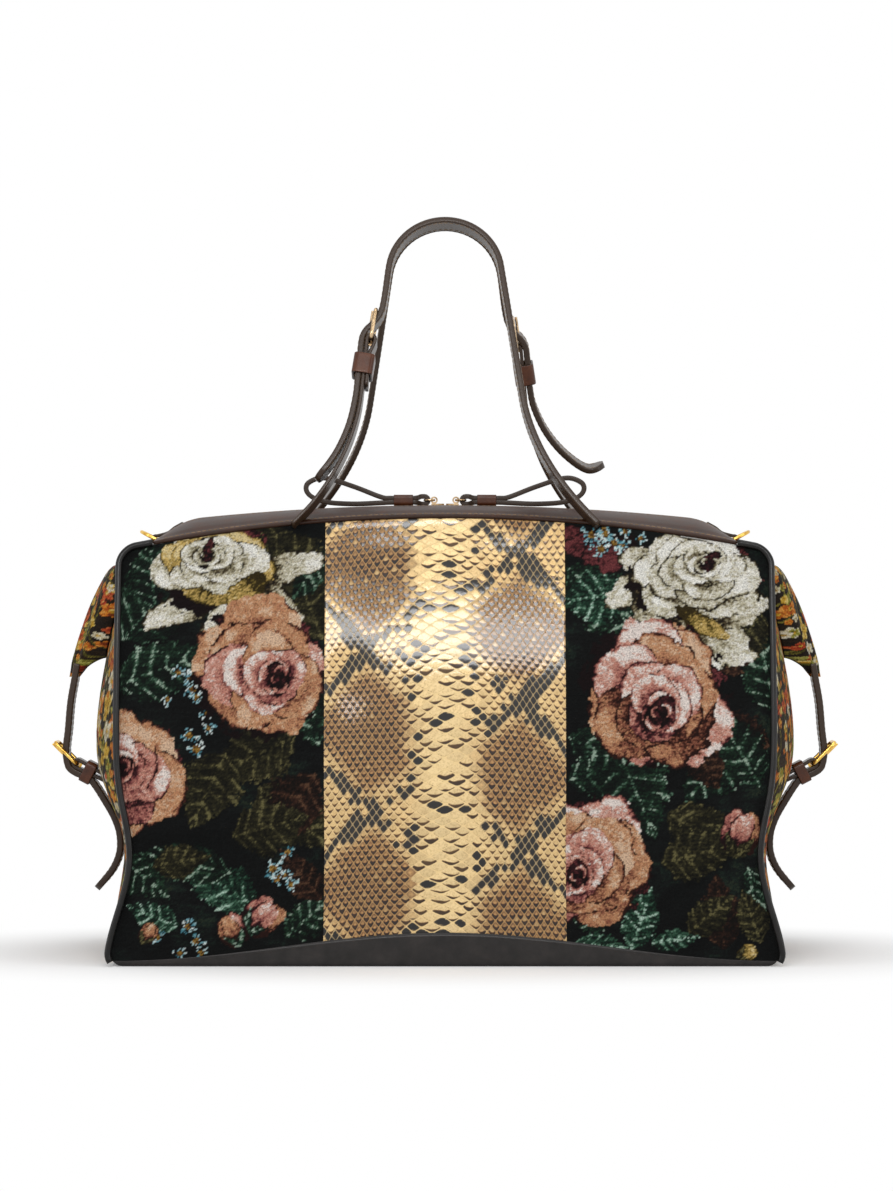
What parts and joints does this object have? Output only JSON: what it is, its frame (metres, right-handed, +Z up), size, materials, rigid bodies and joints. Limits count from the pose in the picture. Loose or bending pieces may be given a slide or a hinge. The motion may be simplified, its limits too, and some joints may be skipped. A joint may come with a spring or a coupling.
{
  "type": "top-handle bag",
  "caption": "Structured zip-top handbag with tapestry sides, a snake-print centre panel, buckled gusseted ends and twin buckled strap handles.",
  "frame": {"origin": "centre of the base on the surface it stands on", "axes": "+X to the right across the front, +Y from front to back, +Z up"},
  "size_m": [0.4914, 0.187, 0.4581],
  "materials": {
    "snake_print": "glossy printed snake scale",
    "tapestry": "woven rose tapestry on a black ground",
    "floral": "small floral jacquard on a brown ground",
    "black_leather": "smooth satin",
    "strap_leather": "polished dark brown",
    "keeper_leather": "polished mid brown",
    "zip_tape": "woven tape",
    "gold": "polished yellow gold",
    "pale_gold": "polished pale gold"
  },
  "bodies": {
    "bag": {"front_centre_panel": "snake_print", "front_left_panel": "tapestry", "front_right_panel": "tapestry", "back_centre_panel": "snake_print", "back_left_panel": "tapestry", "back_right_panel": "tapestry", "left_gusset": "floral", "right_gusset": "floral", "left_ear": "floral", "right_ear": "floral", "base_panel": "black_leather", "front_left_piping": "black_leather", "front_right_piping": "black_leather", "back_left_piping": "black_leather", "back_right_piping": "black_leather", "front_top_band": "strap_leather", "back_top_band": "strap_leather", "front_zip_tape": "zip_tape", "back_zip_tape": "zip_tape", "front_zip_teeth": "pale_gold", "back_zip_teeth": "pale_gold", "left_ring_tab": "strap_leather", "right_ring_tab": "strap_leather", "left_side_strap": "strap_leather", "right_side_strap": "strap_leather", "left_side_buckle": "gold", "right_side_buckle": "gold", "left_side_prong": "gold", "right_side_prong": "gold", "left_side_keeper": "keeper_leather", "right_side_keeper": "keeper_leather", "left_side_chape": "strap_leather", "right_side_chape": "strap_leather", "front_handle_roots": "strap_leather", "back_handle_roots": "strap_leather"},
    "left_slider": {"left_slider": "pale_gold"},
    "right_slider": {"right_slider": "pale_gold"},
    "left_pull": {"left_pull_ring": "pale_gold", "left_pull": "strap_leather", "left_pull_band": "keeper_leather"},
    "right_pull": {"right_pull_ring": "pale_gold", "right_pull": "strap_leather", "right_pull_band": "keeper_leather"},
    "left_ring": {"left_d_ring": "gold"},
    "right_ring": {"right_d_ring": "gold"},
    "front_handle": {"front_handle_strap": "strap_leather", "front_handle_buckle": "pale_gold", "front_handle_prong": "pale_gold", "front_handle_keeper": "keeper_leather", "front_handle_chape": "strap_leather"},
    "back_handle": {"back_handle_strap": "strap_leather", "back_handle_buckle": "pale_gold", "back_handle_prong": "pale_gold", "back_handle_keeper": "keeper_leather", "back_handle_chape": "strap_leather"}
  },
  "joints": [
    {"name": "left_slider_run", "type": "hinge", "parent": "bag", "child": "left_slider", "pos_m": [0, 0, -1.222], "axis": [0, -1, 0], "range_deg": [0, 5.1]},
    {"name": "right_slider_run", "type": "hinge", "parent": "bag", "child": "right_slider", "pos_m": [0, 0, -1.222], "axis": [0, 1, 0], "range_deg": [0, 5.1]},
    {"name": "left_pull_swing", "type": "hinge", "parent": "left_slider", "child": "left_pull", "pos_m": [-0.00681, 0, 0.28249], "axis": [0, 1, 0], "range_deg": [0, 85]},
    {"name": "right_pull_swing", "type": "hinge", "parent": "right_slider", "child": "right_pull", "pos_m": [0.00681, 0, 0.28249], "axis": [0, -1, 0], "range_deg": [0, 85]},
    {"name": "left_ring_swing", "type": "hinge", "parent": "bag", "child": "left_ring", "pos_m": [-0.1802, 0, 0.25793], "axis": [0, 1, 0], "range_deg": [0, 100]},
    {"name": "right_ring_swing", "type": "hinge", "parent": "bag", "child": "right_ring", "pos_m": [0.1802, 0, 0.25793], "axis": [0, -1, 0], "range_deg": [0, 100]},
    {"name": "front_handle_fold", "type": "hinge", "parent": "bag", "child": "front_handle", "pos_m": [0, -0.053, 0.28241], "axis": [1, 0, 0], "range_deg": [0, 100]},
    {"name": "back_handle_fold", "type": "hinge", "parent": "bag", "child": "back_handle", "pos_m": [0, 0.053, 0.28241], "axis": [-1, 0, 0], "range_deg": [0, 100]}
  ]
}
